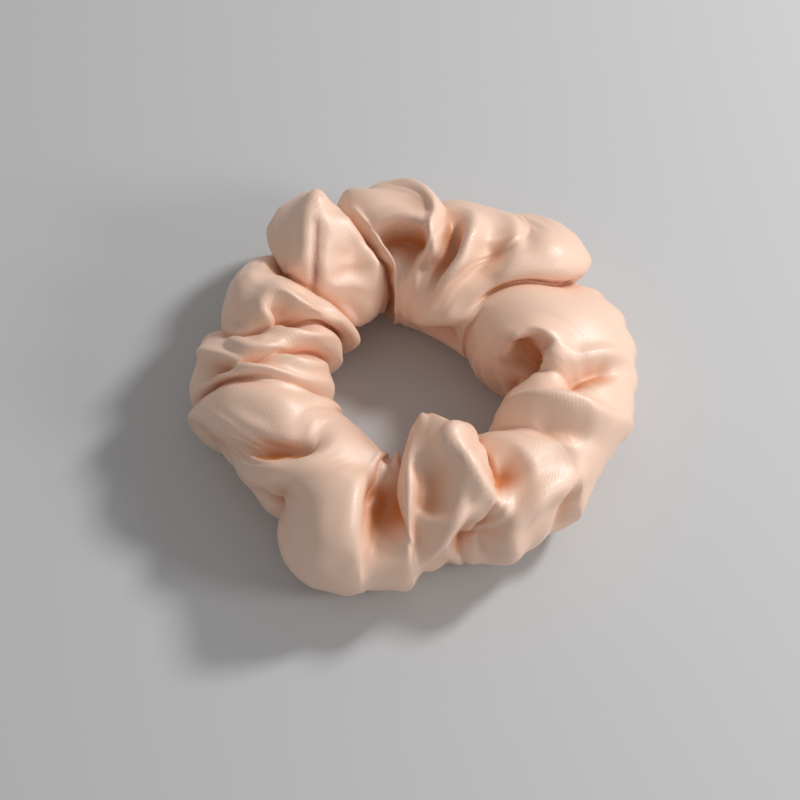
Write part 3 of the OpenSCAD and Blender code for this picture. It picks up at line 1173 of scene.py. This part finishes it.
        # Painted shade: how deep each point lies in a fold, the share of the darker fold tone
        deep = np.zeros(points.shape[1:], np.float32)
        for width, depth in self.shade_cavities:
            calm = blurred(blurred(points, width, 1), width * 0.6, 2)
            deep += np.clip(((calm - points) * out).sum(0) / depth, 0, 1)
        deep = blurred(blurred(np.clip(deep, 0, 1), 1.5, 0), 1.0, 1)
        inner = points - self.satin_t * out
        both = np.concatenate([x.reshape(3, -1).T for x in (points, inner)])
        faces, uv = grid(self.columns, self.rows, self.cut[::-1], (True, True))
        faces = np.concatenate([faces, faces[:, ::-1] + len(both) // 2])
        uv = np.concatenate([uv, uv.reshape(-1, 4, 2)[:, ::-1].reshape(-1, 2)])
        sleeve = make_piece("sleeve", both, faces, uv)
        for layer, values in ((Layer.DEPTH, deep), (Layer.SEWN, sewn)):
            data = sleeve.data.attributes.new(layer.value, "FLOAT", "POINT").data
            data.foreach_set("value", np.tile(values.ravel(), 2).astype(np.float32))
        follow(sleeve, Slot.SATIN, finish.material(), "sleeve_far", "sleeve_near")
        x, y, _ = points[:, :, self.rows // 4]
        column = np.argmin(np.abs(np.arctan2(y, x) - self.closing_turn))
        return points[:, column].T.astype(float)


@dataclass
class Elastic:
    """The ring of flat elastic and the zigzag that sews its lapped ends."""

    inner_r: float = 27.3
    width: float = 7.0
    thickness: float = 1.0
    lap: float = 14.0
    lap_at: float = 270.0
    mid_z: float = 14.8
    stitch: float = 3.0
    thread_d: float = 0.5
    columns: int = 361
    rows: int = 20
    climb_from: float = 0.5  # radians before the lap where the strip starts to climb
    climb_over: float = 0.35
    tack_points: int = 89

    def band(self) -> Object:
        """The strip: a flat rounded section carried round the ring, with its ends lapped.

        The section is a flattened ring of points. The strip starts at the lap, goes once
        round and climbs by its own thickness to lie on its start.

        Returns:
            The strip.
        """
        half = math.degrees(self.lap / 2 / self.inner_r)
        turn = np.linspace(self.lap_at - half, self.lap_at + 360 + half, self.columns)
        turn = np.radians(turn)[:, None]
        climb = eased((turn - turn[0] - 2 * np.pi + self.climb_from) / self.climb_over)
        middle = self.inner_r + self.thickness * (0.5 + climb)
        x, y = np.cos(angles(self.rows)), np.sin(angles(self.rows))
        deep = np.sign(x) * np.abs(x) ** 0.5 * self.thickness * 0.49
        high = np.sign(y) * np.abs(y) ** 0.35 * self.width / 2
        size = np.ones_like(turn)
        size[[0, -1]] = 0.6
        points = polar(middle + size * deep, turn, self.mid_z + size * high)
        run = 2 * np.pi * self.inner_r + self.lap
        return strip("elastic_ring", points, (run, 2 * self.width), False)

    def tack(self) -> Object:
        """The zigzag: a thread that swings up and down over the lap in straight stitches.

        Returns:
            The thread.
        """
        reach = self.inner_r + 2 * self.thickness + 0.05 + self.thread_d / 2
        sewn = self.lap - self.stitch
        place = np.linspace(0, 1, self.tack_points)
        swing = 2 / np.pi * np.arcsin(np.sin(2 * np.pi * sewn / self.stitch * place))
        turn = math.radians(self.lap_at) + (place - 0.5) * sewn / reach
        path = polar(reach, turn, self.mid_z + 0.3 * self.width * swing)
        return tube("elastic_tack_thread", path, self.thread_d, False)

    def build(self, band: ElasticFinish, thread: ThreadFinish) -> None:
        """Makes and dresses the strip and its zigzag.

        Args:
            band: the elastic's finish.
            thread: the thread's finish.
        """
        follow(self.band(), Slot.ELASTIC, band.material(), "elastic_band")
        follow(self.tack(), Slot.THREAD, thread.material(), "elastic_tack")


@dataclass
class Seams:
    """The threads inside the sleeve: the long seam round the ring and the closing seam."""

    sleeve: Sleeve
    thread_d: float = 0.5
    stitch: float = 3.0
    stitch_points: int = 8
    wave: float = 0.2  # how far the long seam swings in and out
    long_v: float = -40.0
    long_depth: float = 6.5
    inset: float = 1.6

    def long_path(self) -> Grid:
        """The long seam: a circle under the valleys, waved in and out once each stitch.

        Returns:
            Points of the path.
        """
        s, v = self.sleeve, math.radians(self.long_v)
        reach = s.ring_r + (s.half_w - self.long_depth) * math.cos(v)
        count = round(2 * np.pi * reach / self.stitch)
        turn = angles(count * self.stitch_points)
        z = s.mid_z + (s.half_h - self.long_depth) * math.sin(v)
        return polar(reach + self.wave * np.cos(count * turn), turn, z)

    def build(self, points: Grid, finish: ThreadFinish) -> None:
        """Makes and dresses both seams.

        Args:
            points: the ring of points on the sleeve that the closing seam runs under.
            finish: the thread's finish.
        """
        material = finish.material()
        long_seam = tube("long_seam_thread", self.long_path(), self.thread_d, True)
        path = points + self.inset * unit(points.mean(0) - points)
        closing = tube("closing_seam_thread", path, self.thread_d, True)
        follow(long_seam, Slot.THREAD, material, "long_seam_far", "long_seam_near")
        follow(closing, Slot.THREAD, material, "closing_seam")


@dataclass(frozen=True)
class Lamp:
    """A round soft lamp: its place and diameter in metres, and its power in watts."""

    name: str
    place: Triple
    size: float
    power: float


@dataclass
class Stage:
    """The floor, the studio lamps and the camera."""

    floor_r: float = 3.0
    floor_sides: int = 64
    distance: float = 0.437
    elevation: float = 60.0
    aim_z: float = 0.015
    lens: float = 85.0
    sensor: float = 36.0
    shift: Pair = (-14 / 800, -22 / 800)
    sky: str = "#F0EFEE"
    sky_strength: float = 0.39
    lamps: tuple[Lamp, ...] = (
        Lamp("key_lamp", (0.46, 0.26, 0.48), 0.12, 2.9),
        Lamp("fill_lamp", (0.6, -0.2, 0.36), 0.2, 1.35),
    )

    def hang(self, data: ID, at: Triple) -> Object:
        """Hangs a lamp or the camera and turns it to the middle of the ring.

        Args:
            data: the lamp's or camera's data, which gives the name.
            at: where it hangs.

        Returns:
            The lamp or camera.
        """
        thing = bpy.data.objects.new(data.name, data)
        thing.location = at
        way = Vector((0, 0, self.aim_z)) - thing.location
        thing.rotation_euler = way.to_track_quat("-Z", "Y").to_euler()
        bpy.context.scene.collection.objects.link(thing)
        return thing

    def build(self, finish: FloorFinish) -> None:
        """Sets up the floor, the lamps, the world and the camera.

        Args:
            finish: the floor's finish.
        """
        points = polar(self.floor_r / MM, angles(self.floor_sides), 0.0)
        no_quads, no_corners = np.empty((0, 4), int), np.empty((0, 2))
        floor = make_piece("floor", points, no_quads, no_corners, (np.arange(self.floor_sides),))
        floor.data.materials.append(finish.material())
        for lamp in self.lamps:
            light = bpy.data.lights.new(lamp.name, "AREA")
            light.shape = "DISK"
            light.size = lamp.size
            light.energy = lamp.power
            self.hang(light, lamp.place)
        scene = bpy.context.scene
        scene.world = bpy.data.worlds.new("studio")
        scene.world.use_nodes = True
        sky = scene.world.node_tree.nodes["Background"]
        sky.inputs["Color"].default_value = linear(self.sky)
        sky.inputs["Strength"].default_value = self.sky_strength
        camera = bpy.data.cameras.new("camera")
        camera.lens = self.lens
        camera.sensor_width = self.sensor
        camera.shift_x, camera.shift_y = self.shift
        tilt = math.radians(self.elevation)
        back, up = self.distance * math.cos(tilt), self.distance * math.sin(tilt)
        scene.camera = self.hang(camera, (0, -back, self.aim_z + up))
        scene.view_settings.view_transform = "Standard"


def main() -> None:
    """Builds the scrunchie and its stage."""
    logging.basicConfig(level=logging.INFO, format="%(message)s")
    Stage().build(FloorFinish())
    thread = ThreadFinish()
    Elastic().build(ElasticFinish(), thread)
    sleeve = Sleeve()
    Seams(sleeve).build(sleeve.build(SatinFinish()), thread)


if __name__ == "__main__":
    main()
